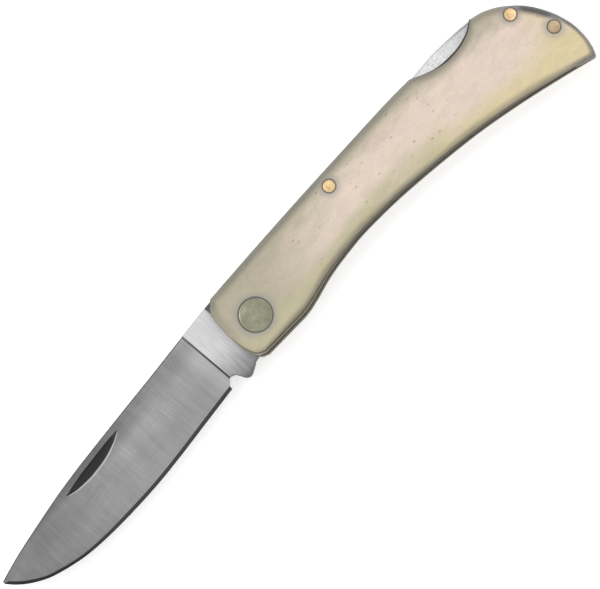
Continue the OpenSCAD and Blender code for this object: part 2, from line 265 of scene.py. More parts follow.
# each cross-section runs edge, bevel, lower face, nail nick, upper face and spine on the front,
# then back down the rear
def groundBladeMesh(name, look):
    curve = smoothCurve(stations, 40)
    x0 = look["plungeX"]
    heel, heelTop = stations[0, :2]
    x = np.concatenate([[x0 + look["intoTang"]], np.linspace(x0, x0 - look["plungeWide"], 9),
                        np.linspace(x0 - 0.8, heel + 0.12, 8), [heel + 0.01],
                        np.linspace(heel, -84, 440), np.linspace(-84, -94.47, 90)[1:]])
    top = np.interp(-x, -curve[:, 0], curve[:, 1])
    top = np.where(x > heel, heelTop + (x - heel) * 0.03, top)
    low = np.interp(-x, -curve[:, 0], curve[:, 2])
    choil = np.interp(-x, *look["choil"].T)
    inChoil = x > heel + 0.005
    low = np.where(inChoil, choil, low)
    # near the tip every row takes its share of the room that is left between edge and spine
    room = top - low
    bevel = np.interp(x, *np.vstack([look["tipBevel"], [-60, look["bevel"]]]).T)
    bevel = np.where(inChoil, 0.05, np.minimum(bevel, room * 0.5))
    spineBreak = np.minimum(look["spineBreak"], room * 0.15)
    highlightWide = np.minimum(look["nickHighlight"], room * 0.07)
    # the grind: thickness eases from the ricasso's to the ground one over the plunge's width
    ease = np.clip((x0 - x) / look["plungeWide"], 0, 1)
    ease = ease * ease * (3 - 2 * ease)
    wide = np.clip(room / look["fullHigh"], 0, 1) ** 0.7
    half = look["thick"] / 2 - look["hair"]
    thin = look["behindEdge"] / 2
    spineHalf = np.maximum(thin + (half - look["grindSet"] - thin) * wide, 0.1)
    shoulder = half + (thin - half) * ease
    # nail nick: a nearly straight upper lip and a curved lower one that meet at both ends
    lip = np.minimum(np.interp(x, *look["nickLip"].T), top - np.minimum(0.6, room * 0.3))
    belly = smoothCurve(look["nickBelly"], 10)
    sag = np.clip(lip - np.interp(x, belly[:, 0], belly[:, 1], left=99, right=99), 0, 4)
    nickLow = np.maximum(lip - np.maximum(sag, 0.02), low + bevel + np.minimum(0.3, room * 0.1))

    # rows of one flank: height, half thickness, and the shares of bevel, nick, painted spine shade and
    # painted lip highlight
    def flank(front):
        rows = [(low + bevel * t, np.maximum(shoulder * t, look["edgeHalf"]), 1, 0, 0, 0)
                for t in (0.0, 0.5, 0.97)]

        def ground(y, sunk=0.0, nick=0, lipHighlight=0):
            share = np.clip((y - low - bevel) / np.maximum(room - bevel, 1e-6), 0, 1)
            flat = thin + (spineHalf - thin) * share
            rows.append((y, half + (flat - half) * ease - sunk, 0, nick, 0, lipHighlight))

        for t in np.linspace(0, 1, 15)[:-1]:
            ground(low + bevel * 1.02 + (nickLow - highlightWide - low - bevel * 1.02) * t * 0.99)
        deep = look["nickDeep"] * np.clip(sag / 1.2, 0, 1) * front
        lit = np.clip(sag / 0.5, 0, 1) * front
        ground(nickLow - highlightWide)
        # a painted highlight line on the nick's lower lip
        ground(nickLow - highlightWide * 0.6, lipHighlight=lit)
        cut = np.where(sag > 0.05, 1.0, 0.0) * front
        for t in np.linspace(0, 1, 9):
            sunk = deep * (t * 0.98 + 0.02) ** 0.8 * (t > 0)
            ground(nickLow + (lip - nickLow) * t, sunk, cut * (t > 0), lit * (t == 0))
        above = np.minimum(0.05, room * 0.02)
        for t in np.linspace(0, 1, 8)[1:]:
            ground(lip + above + (top - spineBreak - lip - above) * t)
        y, z = rows[-1][:2]
        for a in np.radians([5, 30, 60, 90]):
            rows.append((y + spineBreak * np.sin(a),
                         z - spineBreak * 0.8 * (1 - np.cos(a)) * np.clip(z, 0, 1), 0, 0, 1, 0))
        return rows

    loop = [(y, midZ + z, *mark) for y, z, *mark in flank(1)]
    loop += [(y, midZ - z, *mark) for y, z, *mark in flank(0)[::-1]]
    across = lambda k: np.stack([row[k] * np.ones(len(x)) for row in loop], axis=1)
    rings = np.stack([np.repeat(x[:, None], len(loop), axis=1), across(0), across(1)], axis=-1)
    marks = {"bevelMask": across(2), "nickShadeMask": across(3), "spineShadeMask": across(4), "nickHighlightMask": across(5)}
    return ringMesh(name, rings, sharpAngle=20, attributes=marks)

bladeGround = groundBladeMesh("bladeGround", bladeLook)

tangLook = {
    "lobe": 7.2,       # radius of the lobe about the pivot
    "notchX": -7.6,    # front face of the lock notch
    "notchY": 5.93,    # floor of the notch
    "notchEnd": -2.37, # where the notch meets the lobe
    "notchTop": 11.8,  # height of its front corner
    "foldTurn": 173,   # degrees from open to folded
    "bevel": 0.12,
}

# ricasso and tang: straight runs, the lobe's arc, and the kick and choil as one smooth curve
def tangMesh(name, look):
    fold = np.radians(-look["foldTurn"])
    lobeY = np.sqrt(look["lobe"] ** 2 - look["notchEnd"] ** 2)
    a = np.linspace(np.arctan2(lobeY, look["notchEnd"]), np.radians(-108), 160)
    arc = look["lobe"] * np.stack([np.cos(a), np.sin(a)], axis=1)
    # flat on the lobe for the hook when the blade is folded
    turned = np.stack([arc[:, 0] * np.cos(-fold) - arc[:, 1] * np.sin(-fold),
                       arc[:, 0] * np.sin(-fold) + arc[:, 1] * np.cos(-fold)], axis=1)
    flattened = np.minimum(turned[:, 1], look["notchY"])
    turned[:, 1] = np.where(turned[:, 0] < look["notchEnd"] + 0.1, flattened, turned[:, 1])
    arc = np.stack([turned[:, 0] * np.cos(fold) - turned[:, 1] * np.sin(fold),
                    turned[:, 0] * np.sin(fold) + turned[:, 1] * np.cos(fold)], axis=1)
    choilTop, plungeTop = [bladeLook["plungeX"], -4.6], [bladeLook["plungeX"], 11.55]
    kick = smoothCurve([arc[-1], [-8.5, -7], [-10, -7.6], [-12.2, -8.5], [-13.2, -8.45], [-14, -7.8],
                        [-14.6, -6.4], [-15.2, -5.2], choilTop], 10)
    lobeEnd, floorBack = [look["notchEnd"], lobeY], [look["notchEnd"], look["notchY"]]
    floorFront, corner = [look["notchX"], look["notchY"]], [look["notchX"], look["notchTop"]]
    outline = joinPaths([[plungeTop, choilTop], kick[::-1], arc[::-1], [lobeEnd, floorBack],
                         [floorBack, floorFront], [floorFront, corner], [corner, plungeTop]], 0.2)
    return plateMesh(name, outline, *heightsOf("blade"), look["bevel"])

bladeTang = tangMesh("bladeTang", tangLook)
print("blade made")


barLook = {
    "hookFront": -7.43,   # front face of the hook
    "hookBack": -2.43,    # back face of the hook
    "hookY": 6.9,         # underside of the hook
    "overLobe": 8.03,     # underside above the blade's lobe
    "overKick": 7.57,     # underside above the kick of the folded blade
    "corner": 0.2,        # rounding of the bar's long corners
    "spineShadeWide": 0.35,    # width below the top corners over which their painted shade fades out
    "frontTop": 11.8,     # height of the front end
    "tail": (93.35, 7.07), # top corner of the tail
    "tailLow": 3.28,      # height of the tail's lower corner
    "leanFrom": 91.0,     # where the rows start to lean towards the tail's arc
}
spineLine = np.vstack([spinePath, [[80, 8.95], [85, 8.45], [90, 7.75], [93.35, 7.08]]])
tailRadius = np.hypot(barLook["tail"][0] - rockerAt[0], barLook["tail"][1] - rockerAt[1])

# the bar: at each station along X a loop runs up the front flank, over the spine and down the rear one;
# its tail is an arc about the rocker, so there the rows lean back with height
def barMesh(name, look):
    low = smoothCurve([[20.3, 5.4], [28.4, 4.5], [37.4, 3.7], [46.4, 3.3], [55.4, 2.9], [69.8, 3.25]], 10)
    tailX = look["tail"][0]
    under = np.vstack([[[look["hookFront"], look["hookY"]], [look["hookBack"], look["hookY"]],
                        [look["hookBack"] + 0.01, look["overLobe"]], [3.6, look["overLobe"]],
                        [11.5, look["overKick"]], [15.1, look["overKick"]], [20.3, 5.4]],
                       low[1:], [[tailX, look["tailLow"]]]])
    x = np.unique(np.concatenate([np.linspace(look["hookFront"], tailX, 260), under[:, 0]]))
    bottom = np.interp(x, *under.T)
    top = np.where(x < spinePath[0, 0], look["frontTop"], np.interp(x, *spineLine.T))
    cut, spineShade = look["corner"], look["spineShadeWide"]
    lowZ, highZ = heightsOf("lock_bar")
    # rows of one flank from the underside up: height, depth below the face, and share of painted shade on the
    # top corner
    rows = [(bottom, cut * 0.5, 0.0), (bottom + cut * 0.5, 0.0, 0.0)]
    for t in np.linspace(0.1, 0.9, 9):
        rows.append((bottom + (top - bottom) * t, 0.0, 0.0))
    rows.append((top - cut - spineShade, 0.0, 0.0))
    for a in np.radians([0, 30, 60, 90]):
        rows.append((top - cut * (1 - np.sin(a)), cut * (1 - np.cos(a)), 1.0))
    loop = [(y, highZ - sunk, mark) for y, sunk, mark in rows]
    loop += [(y, lowZ + sunk, mark) for y, sunk, mark in rows[::-1]]
    across = lambda k: np.stack([row[k] * np.ones(len(x)) for row in loop], axis=1)
    y = across(0)
    tail = rockerAt[0] + np.sqrt(tailRadius ** 2 - (y - rockerAt[1]) ** 2) - tailX
    lean = ramp(x, look["leanFrom"], tailX)[:, None]
    rings = np.stack([x[:, None] + tail * lean, y, across(1)], axis=-1)
    # from the tail to the hook, so that the faces point outwards
    return ringMesh(name, rings[::-1], sharpAngle=25, attributes={"spineCornerShade": across(2)[::-1]})

lockBar = barMesh("lockBar", barLook)

springLook = {
    "bevel": 0.1,
    "tongueTip": 71.5,  # X of the tongue's end
    "gap": 0.15,        # gap behind the bar's tail
}

# the base follows the butt and the tongue tapers forward under the bar's tail
def springMesh(name, look):
    y = np.linspace(2.2, 6.95, 10)
    face = np.sqrt((tailRadius + look["gap"]) ** 2 - (y - rockerAt[1]) ** 2)
    face = np.stack([rockerAt[0] + face, y], axis=1)
    butt = buttPath[buttPath[:, 0] > face[-1, 0] + 0.1] - [0.04, 0]
    inner = smoothCurve([[101.6, -21.5], [101.2, -15.2], [102.3, -9.2], [98.6, -4.1], [94, -0.05],
                         [75.5, 1.6], [look["tongueTip"], 2.05]], 12)
    tip, pad = [look["tongueTip"], 3.2], [74.5, 3.22]
    outline = joinPaths([face, np.vstack([face[-1:], butt]), [butt[-1], inner[0]], inner,
                         [inner[-1], [71.1, 2.6], tip], [tip, pad], [pad, face[0]]], 0.3)
    return plateMesh(name, outline, *heightsOf("back_spring"), look["bevel"])

backSpring = springMesh("backSpring", springLook)
print("lock bar and back spring made")


headLook = {
    "radius": 4.38,
    "pole": 0.03,  # radius of the small flat at the middle
    "dome": 0.22,  # height over the bone
    "rim": 0.42,   # width of the sloping rim
    "drop": 0.07,  # step down to the rim
    "edge": 0.14,  # rounding of the outer edge
    "deep": 1.5,   # length that is set into the bone
}

# nearly flat dome, height falling with the square of the radius, then a narrow sloping rim and a rounded edge
def headMesh(name, look, faceZ, up):
    flat, pole = look["radius"] - look["rim"], look["pole"]
    dome = [(pole + (flat - pole) * t, faceZ + up * look["dome"] * (1 - 0.4 * t * t))
            for t in np.linspace(0, 1, 14)]
    z = dome[-1][1]
    r = look["radius"] - look["edge"]
    dome += [(flat + 0.04, z - up * look["drop"] * 0.6), (r, z - up * look["drop"] * 1.4)]
    z = dome[-1][1]
    a = np.radians(np.linspace(20, 90, 5))
    shoulder = [(r + look["edge"] * np.sin(q), z - up * look["edge"] * (1 - np.cos(q))) for q in a]
    profile = dome + shoulder + [(look["radius"], faceZ - up * look["deep"])]
    return turnedMesh(name, profile[::-up], 0, 0, 160)

frontHead = headMesh("pivotHeadFront", headLook, scaleTop, 1)
rearHead = headMesh("pivotHeadRear", dict(headLook, dome=0.0), 0.0, -1)

pinLook = {
    "radius": 1.6,
    "pole": 0.03,   # radius of the small flat at the middle
    "dome": 0.04,   # rise of the end's middle
    "edge": 0.1,    # rounding of the end's edge
    "proud": 0.05,  # how far the end stands over the bone
}

# depth of the bone's face below its middle: the same rounding and parabola as the scale's own rings, taken on
# the inward line of the rim that passes nearest to each point
def boneFall(x, y, look):
    inward = inwardFrom(rim)
    rel = np.stack([x, y], axis=-1)[..., None, :] - rim
    along = np.sum(rel * inward, axis=-1)
    aside = np.abs(rel[..., 0] * inward[:, 1] - rel[..., 1] * inward[:, 0])
    near = np.argmin(np.where((along > 0) & (along < 14), aside, 99), axis=-1)
    d = np.take_along_axis(along, near[..., None], axis=-1)[..., 0]
    r = roundingAlong(rim, look)[near]
    crown = look["crown"] * r / look["round"] * (1 - np.clip(d / look["flatFrom"], 0, 1)) ** 2
    return crown + look["roundHigh"] * r * (1 - np.sqrt(1 - (1 - np.clip(d / r, 0, 1)) ** 2))

# a pin whose ends follow the bone and stand a hair proud of it, with a low dome and a rounded edge
def pinMesh(name, look, at, around=96):
    r = look["radius"] - look["edge"]
    a = np.radians(np.linspace(10, 90, 6))
    end = [(look["pole"], look["dome"]), (r * 0.25, look["dome"] * 0.95), (r * 0.5, look["dome"] * 0.8),
           (r * 0.75, look["dome"] * 0.5), (r, 0.0)]
    end += [(r + look["edge"] * np.sin(q), -look["edge"] * (1 - np.cos(q))) for q in a]
    end += [(look["radius"], -look["edge"] * 3)]
    out, high = (column[:, None] for column in np.array(end).T)
    angle = np.arange(around) * 2 * np.pi / around
    x, y = at[0] + out * np.cos(angle), at[1] + out * np.sin(angle)
    fall = boneFall(x, y, scaleLook)
    top = np.stack([x, y, scaleTop - fall + look["proud"] + high], axis=-1)
    low = np.stack([x, y, np.maximum(fall - look["proud"] - high, 0.0)], axis=-1)
    return ringMesh(name, np.concatenate([low, top[::-1]]))

rockerPin = pinMesh("rockerPin", pinLook, rockerAt)
upperPin = pinMesh("buttPinUpper", pinLook, upperPinAt)
lowerPin = pinMesh("buttPinLower", pinLook, lowerPinAt)
print("pins and heads made")


# adds a node; plain values set its inputs and sockets are linked to them
def put(tree, kind, inputs=None, **settings):
    node = tree.nodes.new(kind)
    for key, value in settings.items():
        setattr(node, key, value)
    for key, value in (inputs or {}).items():
        if isinstance(value, bpy.types.NodeSocket):
            tree.links.new(value, node.inputs[key])
        else:
            node.inputs[key].default_value = value
    return node

def maths(tree, operation, a, b=0.0, clamp=False):
    return put(tree, "ShaderNodeMath", {0: a, 1: b}, operation=operation, use_clamp=clamp).outputs[0]

def plus(tree, a, b, clamp=False):
    return maths(tree, "ADD", a, b, clamp)

def minus(tree, a, b):
    return maths(tree, "SUBTRACT", a, b)

def times(tree, a, b):
    return maths(tree, "MULTIPLY", a, b)

def larger(tree, a, b):
    return maths(tree, "MAXIMUM", a, b)

# a noise moved to lie about nought, times amount
def wander(tree, noise, amount):
    return times(tree, minus(tree, noise, 0.5), amount)

# toLow where the value is below low, toHigh where it is above high, eased between
def fade(tree, value, low, high, toLow=0.0, toHigh=1.0):
    inputs = {"Value": value, "From Min": low, "From Max": high, "To Min": toLow, "To Max": toHigh}
    return put(tree, "ShaderNodeMapRange", inputs, interpolation_type="SMOOTHSTEP").outputs["Result"]

# 1 from the end of the rise to the start of the fall, 0 outside both
def between(tree, value, rise, fall):
    return times(tree, fade(tree, value, *rise), fade(tree, value, *fall, 1.0, 0.0))

def blendColor(tree, factor, a, b, mode="MIX"):
    node = put(tree, "ShaderNodeMix", data_type="RGBA", blend_type=mode)
    for socket, value in ((node.inputs[0], factor), (node.inputs[6], a), (node.inputs[7], b)):
        if isinstance(value, bpy.types.NodeSocket):
            tree.links.new(value, socket)
        else:
            socket.default_value = value
    return node.outputs[2]

# a value that scales a colour up and down
def shaded(tree, color, value):
    grey = put(tree, "ShaderNodeCombineColor", {0: value, 1: value, 2: value}).outputs[0]
    return blendColor(tree, 1.0, color, grey, "MULTIPLY")

# object coordinates in millimetres
def millimetres(tree):
    return put(tree, "ShaderNodeVectorMath", {0: put(tree, "ShaderNodeTexCoord").outputs["Object"],
               "Scale": 1000.0}, operation="SCALE").outputs[0]

def stretched(tree, vector, scale, turn=(0, 0, 0)):
    return put(tree, "ShaderNodeMapping", {"Vector": vector, "Scale": scale, "Rotation": turn}).outputs[0]

def noise(tree, vector, scale, detail=3.0, rough=0.5):
    return put(tree, "ShaderNodeTexNoise", {"Vector": vector, "Scale": scale, "Detail": detail,
               "Roughness": rough}).outputs[0]

# node group whose inputs and outputs are all plain numbers
def newGroup(name, inputs, outputs):
    tree = bpy.data.node_groups.new(name, "ShaderNodeTree")
    for key, value in inputs.items():
        socket = tree.interface.new_socket(key, in_out="INPUT", socket_type="NodeSocketFloat")
        socket.default_value = value
    for key in outputs:
        tree.interface.new_socket(key, in_out="OUTPUT", socket_type="NodeSocketFloat")
    return tree, tree.nodes.new("NodeGroupInput").outputs, tree.nodes.new("NodeGroupOutput").inputs

def useGroup(tree, group, **inputs):
    node = tree.nodes.new("ShaderNodeGroup")
    node.node_tree = group
    for key, value in inputs.items():
        if isinstance(value, bpy.types.NodeSocket):
            tree.links.new(value, node.inputs[key])
        else:
            node.inputs[key].default_value = value
    return node.outputs


# grinding lines along Y: fine noise squeezed across X, over broader bands
def makeGrindLines():
    tree, given, out = newGroup("grindLines", {"Fine": 5.0, "Length": 0.12}, ("Lines", "Bands"))
    at = put(tree, "ShaderNodeSeparateXYZ", {0: millimetres(tree)}).outputs
    across = times(tree, at[0], given["Fine"])
    along = times(tree, at[1], given["Length"])
    vector = put(tree, "ShaderNodeCombineXYZ", {0: across, 1: along, 2: at[2]}).outputs[0]
    tree.links.new(noise(tree, vector, 1.0, 4.0, 0.65), out["Lines"])
    broad = put(tree, "ShaderNodeVectorMath", {0: vector, 1: (0.09, 0.5, 0.1)},
                operation="MULTIPLY").outputs[0]
    tree.links.new(noise(tree, broad, 1.0, 3.0, 0.6), out["Bands"])
    return tree

# stray scratches: thin bands of a warped wave, kept only where a coarse noise is high
def makeScratches():
    tree, given, out = newGroup("strayScratches", {"Size": 1.0, "Amount": 0.5}, ("Mask",))
    vector = put(tree, "ShaderNodeVectorMath", {0: millimetres(tree), "Scale": given["Size"]},
                 operation="SCALE").outputs[0]
    total = None
    for turn, squeeze in ((0.5, 7.0), (-0.9, 9.0), (2.0, 8.0)):
        lines = noise(tree, stretched(tree, vector, (0.35, squeeze, 1.0), (0, 0, turn)), 1.0, 1.0, 0.4)
        thin = fade(tree, maths(tree, "ABSOLUTE", minus(tree, lines, 0.5)), 0.0, 0.012, 1.0, 0.0)
        total = thin if total is None else larger(tree, total, thin)
    patch = fade(tree, noise(tree, vector, 0.5, 2.0), 0.48, 0.62)
    tree.links.new(times(tree, times(tree, total, patch), given["Amount"]), out["Mask"])
    return tree

# small specks: voronoi cells stretched by Stretch, each lit only where its own random value passes Sparse
def makeSpecks():
    tree, given, out = newGroup("smallSpecks", {"Size": 1.0, "Stretch": 1.0, "Sparse": 0.5}, ("Mask",))
    at = put(tree, "ShaderNodeSeparateXYZ", {0: millimetres(tree)}).outputs
    x = maths(tree, "DIVIDE", at[0], times(tree, given["Size"], given["Stretch"]))
    y = maths(tree, "DIVIDE", at[1], given["Size"])
    z = maths(tree, "DIVIDE", at[2], given["Size"])
    vector = put(tree, "ShaderNodeCombineXYZ", {0: x, 1: y, 2: z}).outputs[0]
    cells = put(tree, "ShaderNodeTexVoronoi", {"Vector": vector, "Scale": 1.0, "Randomness": 1.0})
    near = fade(tree, cells.outputs["Distance"], 0.08, 0.2, 1.0, 0.0)
    lot = put(tree, "ShaderNodeSeparateColor", {0: cells.outputs["Color"]}).outputs[0]
    kept = maths(tree, "GREATER_THAN", lot, given["Sparse"])
    tree.links.new(times(tree, near, kept), out["Mask"])
    return tree

grindLines = makeGrindLines()
strayScratches = makeScratches()
smallSpecks = makeSpecks()

def newMaterial(name, settings):
    material = bpy.data.materials.new(name)
    material.use_nodes = True
    tree = material.node_tree
    shader = tree.nodes["Principled BSDF"]
    for key, value in settings.items():
        shader.inputs[key].default_value = value
    return material, tree, shader

def addBump(tree, shader, height, strength, distance):
    bump = put(tree, "ShaderNodeBump", {"Height": height, "Strength": strength, "Distance": distance})
    tree.links.new(bump.outputs[0], shader.inputs["Normal"])


boneLook = {
    "pink": (0.705, 0.58, 0.485, 1),
    "yellow": (0.66, 0.555, 0.325, 1),
    "yellowFront": (0.475, 0.435, 0.27, 1),
    "blush": (0.715, 0.56, 0.48, 1),
    "moss": (0.46, 0.45, 0.3, 1),
    "olive": (0.385, 0.35, 0.247, 1),
    # rim colours: painted shade where the face rounds over; the grey also tints a faint mottle on the face
    "rimGrey": (0.115, 0.11, 0.085, 1),
    "rimShadeBrown": (0.135, 0.115, 0.078, 1),
    # painted shade line where the face turns into the side
    "edgeShadeLine": (0.045, 0.036, 0.02, 1),
    # side colours: painted shade on the bone's side below the rounding, lighter by the guard and darkest at
    # the liner
    "sideShadeGuard": (0.115, 0.104, 0.066, 1),
    "side": (0.072, 0.066, 0.044, 1),
    "sideShadeLow": (0.04, 0.035, 0.024, 1),
    # painted shade on the rim and side round the top of the butt
    "buttShadeColor": (0.04, 0.043, 0.042, 1),
    # painted shadow along the thumb cut-out's lip against the bar
    "thumbShadowLine": (0.008, 0.008, 0.007, 1),
    "halo": (0.26, 0.26, 0.25, 1),
    "ring": (0.06, 0.047, 0.032, 1),
    "pore": (0.13, 0.115, 0.085, 1),
    "bendFrom": 25.0,     # X where the handle's middle line begins to drop
    "bendHigh": 2.2,      # its height up to there
    "bendRate": 0.00135,  # its drop per square millimetre beyond
}

# where each fade starts and ends (mm), along X unless a note says otherwise
boneFades = {
    "frontEnd": (-8.9, -4.0),
    "oliveFront": (2.0, 38.0),
    "blush": (35.0, 55.0),
    "moss": (45.0, 65.0),
    "bandPale": (-5.0, 30.0),
    "bandWarm": (45.0, 85.0),
    "bandLow": (60.0, 80.0),
    "bandLowEnd": (94.0, 104.0),
    "band": (-9.5, -2.5),        # height above the middle line
    "spine": (2.0, 8.0),         # height above the middle line
    "belly": (-6.0, 0.0),        # height above the middle line
    "buttYellow": (100.0, 114.0),
    "bellyNarrow": (20.0, 60.0),
    "guardNarrow": (-4.0, 8.0),
    "bellyWide": (60.0, 74.0),
    "bellyWideEnd": (92.0, 100.0),
    "greyWeak": (45.0, 80.0),
    "butt": (99.0, 105.0),
    "buttLow": (-20.0, -12.0),   # Y
    "thumb": (76.0, 82.0),
    "thumbEnd": (93.0, 94.0),
    "thumbHigh": (2.0, 3.0),     # Y
    "sideNarrow": (80.0, 98.0),
    "guard": (14.0, 34.0),
    "poreStart": (14.0, 26.0),
    "poreEnd": (60.0, 80.0),
}

# what the bone's colours go by: position, height above the handle's curved middle line, rim and noises
def bonePlaces(tree, look, fades):
    vector = millimetres(tree)
    x, y, z = put(tree, "ShaderNodeSeparateXYZ", {0: vector}).outputs
    bend = larger(tree, minus(tree, x, look["bendFrom"]), 0.0)
    middle = minus(tree, look["bendHigh"], times(tree, times(tree, bend, bend), look["bendRate"]))
    above = minus(tree, y, middle)
    mottle = noise(tree, stretched(tree, vector, (0.16, 0.4, 0.4)), 1.0, 4.0, 0.6)
    rim = put(tree, "ShaderNodeAttribute", attribute_name="rimDistance").outputs["Fac"]
    # the painted rim shade reaches less far in on the belly, a little further below the thumb cut-out
    narrow = plus(tree, fade(tree, x, *fades["bellyNarrow"], 1.45, 1.8),
                  fade(tree, x, *fades["guardNarrow"], 0.6, 0.0))
    midBelly = between(tree, x, fades["bellyWide"], fades["bellyWideEnd"])
    narrow = minus(tree, narrow, times(tree, midBelly, 0.42))
    onBelly = fade(tree, above, *fades["belly"], 1.0, 0.0)
    narrow = plus(tree, 1.0, times(tree, minus(tree, narrow, 1.0), onBelly))
    return SimpleNamespace(
        vector=vector, x=x, y=y, z=z, above=above, mottle=mottle, rim=rim, onBelly=onBelly,
        cloud=noise(tree, stretched(tree, vector, (0.035, 0.09, 0.1)), 1.0, 4.0, 0.55),
        blotch=noise(tree, stretched(tree, vector, (0.085, 0.15, 0.15)), 1.0, 3.0, 0.55),
        reach=plus(tree, times(tree, rim, narrow), wander(tree, mottle, 1.6)),
        pastFront=fade(tree, x, *fades["frontEnd"], 0.25, 1.0),
        onButt=times(tree, fade(tree, x, *fades["butt"]), fade(tree, y, *fades["buttLow"], 0.45, 1.0)))

# clouds of the face: olive at the pivot and under the spine, pink along the middle, yellow along the belly
def boneClouds(tree, look, fades, at):
    # the yellow band keeps lower where the handle is widest
    low = times(tree, fade(tree, at.x, *fades["bandLow"]), fade(tree, at.x, *fades["bandLowEnd"], 3.5, 0.0))
    lean = plus(tree, at.above, wander(tree, at.cloud, 12.0))
    yellow = fade(tree, plus(tree, lean, low), *fades["band"], 1.0, 0.0)
    buttYellow = fade(tree, plus(tree, at.x, times(tree, at.mottle, 10.0)), *fades["buttYellow"])
    yellow = larger(tree, yellow, times(tree, buttYellow, 0.6))
    front = fade(tree, plus(tree, at.x, wander(tree, at.cloud, 24.0)), *fades["oliveFront"], 0.9, 0.0)
    color = blendColor(tree, front, look["pink"], look["olive"])
    blushing = times(tree, fade(tree, at.blotch, 0.5, 0.66, 0.0, 0.5), fade(tree, at.x, *fades["blush"]))
    color = blendColor(tree, blushing, color, look["blush"])
    band = blendColor(tree, fade(tree, at.x, *fades["bandWarm"]), look["yellowFront"], look["yellow"])
    yellow = times(tree, yellow, fade(tree, at.x, *fades["bandPale"], 0.75, 1.0))
    color = blendColor(tree, yellow, color, band)
    mossy = fade(tree, at.blotch, 0.36, 0.5, 0.3, 0.0)
    mossy = times(tree, mossy, fade(tree, at.x, *fades["moss"], 1.0, 0.0))
    color = blendColor(tree, mossy, color, look["moss"])
    spineward = fade(tree, plus(tree, at.above, wander(tree, at.mottle, 5.0)), *fades["spine"], 0.0, 0.85)
    color = blendColor(tree, spineward, color, look["olive"])
    color = blendColor(tree, fade(tree, at.mottle, 0.35, 0.7, 0.0, 0.1), color, look["rimGrey"])
    grit = noise(tree, stretched(tree, at.vector, (2.2, 3.2, 3.2)), 1.0, 3.0, 0.7)
    return shaded(tree, color, fade(tree, grit, 0.25, 0.75, 0.93, 1.06))

# painted shade towards the rounded rim, wider and bluer round the top of the butt
def boneRim(tree, look, fades, at, color):
    grey = times(tree, fade(tree, at.reach, 0.1, 3.2, 0.95, 0.0), at.pastFront)
    grey = times(tree, grey, fade(tree, at.x, *fades["greyWeak"], 1.0, 0.82))
    color = blendColor(tree, grey, color, blendColor(tree, at.onBelly, look["rimGrey"], look["rimShadeBrown"]))
    buttShade = times(tree, at.onButt, fade(tree, at.reach, 0.9, 3.0, 0.95, 0.0))
    return blendColor(tree, buttShade, color, look["buttShadeColor"]), buttShade

# painted shade: the side below the rounding is painted dark, and a painted shadow line darkens the thumb
# cut-out's lip against the bar
def boneSide(tree, look, fades, at, color):
    inThumb = between(tree, at.x, fades["thumb"], fades["thumbEnd"])
    inThumb = times(tree, inThumb, fade(tree, at.y, *fades["thumbHigh"]))
    sideEnd = plus(tree, times(tree, inThumb, 0.35), fade(tree, at.x, *fades["sideNarrow"], 0.3, 0.12))
    side = times(tree, fade(tree, minus(tree, at.rim, sideEnd), -0.2, 0.12, 1.0, 0.0), at.pastFront)
    # painted shade, darkest where the bone meets the liner
    fromLiner = minus(tree, maths(tree, "ABSOLUTE", minus(tree, at.z, midZ)), linerTop - midZ)
    sideShadeColor = blendColor(tree, fade(tree, fromLiner, 0.2, 1.6, 1.0, 0.0), look["side"], look["sideShadeLow"])
    nearGuard = times(tree, fade(tree, at.x, *fades["guard"], 1.0, 0.0), at.onBelly)
    # painted shade tints of the side: lighter by the guard, bluer round the butt, and a near-black painted
    # shadow along the thumb cut-out's lip
    for share, tint in ((nearGuard, "sideShadeGuard"), (at.onButt, "buttShadeColor"), (inThumb, "thumbShadowLine")):
        sideShadeColor = blendColor(tree, share, sideShadeColor, look[tint])
    color = blendColor(tree, times(tree, side, 0.95), color, sideShadeColor)
    # a thin dark brown line of painted shade where the face turns into the side
    fromEdge = maths(tree, "ABSOLUTE", minus(tree, at.rim, 0.3))
    lineShare = times(tree, fade(tree, at.x, *fades["guard"], 1.0, 0.4), at.onBelly)
    edgeShadeLine = times(tree, fade(tree, fromEdge, 0.03, 0.3, 0.85, 0.0), lineShare)
    return blendColor(tree, edgeShadeLine, color, look["edgeShadeLine"]), side

# stain and a dark joint line round the heads and pins, by the distance from each axis
def bonePins(tree, look, at, color):
    joint = None
    stains = (((0, 0), 4.4, 2.4), (rockerAt[:2], 1.6, 2.4),
              (upperPinAt[:2], 1.6, 2.2), (lowerPinAt[:2], 1.6, 2.6))
    for (pinX, pinY), radius, wide in stains:
        dx, dy = minus(tree, at.x, pinX), minus(tree, at.y, pinY)
        axis = maths(tree, "SQRT", plus(tree, times(tree, dx, dx), times(tree, dy, dy)))
        far = minus(tree, axis, radius)
        blur = plus(tree, far, wander(tree, at.mottle, 1.4))
        color = blendColor(tree, fade(tree, blur, 0.0, wide, 0.6, 0.0), color, look["halo"])
        line = fade(tree, far, 0.16, 0.5, 1.0, 0.0)
        joint = line if joint is None else larger(tree, joint, line)
    return blendColor(tree, times(tree, joint, 0.92), color, look["ring"]), joint

# pores in patches along the middle, fine specks all over, and long faint streaks
def bonePores(tree, look, fades, at, color):
    patches = noise(tree, stretched(tree, at.vector, (0.1, 0.2, 0.2)), 1.0, 2.0)
    along = fade(tree, at.x, *fades["poreStart"], 0.35, 1.0)
    along = times(tree, along, fade(tree, at.x, *fades["poreEnd"], 1.0, 0.3))
    porous = times(tree, fade(tree, patches, 0.4, 0.55, 0.45, 1.0), along)
    pores = times(tree, useGroup(tree, smallSpecks, Size=1.4, Stretch=2.3, Sparse=0.4)["Mask"], porous)
    fine = useGroup(tree, smallSpecks, Size=0.6, Stretch=2.0, Sparse=0.8)["Mask"]
    streaks = noise(tree, stretched(tree, at.vector, (0.3, 3.2, 3.2)), 1.0, 5.0, 0.7)
    color = blendColor(tree, fade(tree, streaks, 0.5, 0.75, 0.0, 0.16), color, look["olive"])
    color = blendColor(tree, times(tree, pores, 0.58), color, look["pore"])
    return blendColor(tree, times(tree, fine, 0.16), color, look["pore"]), pores

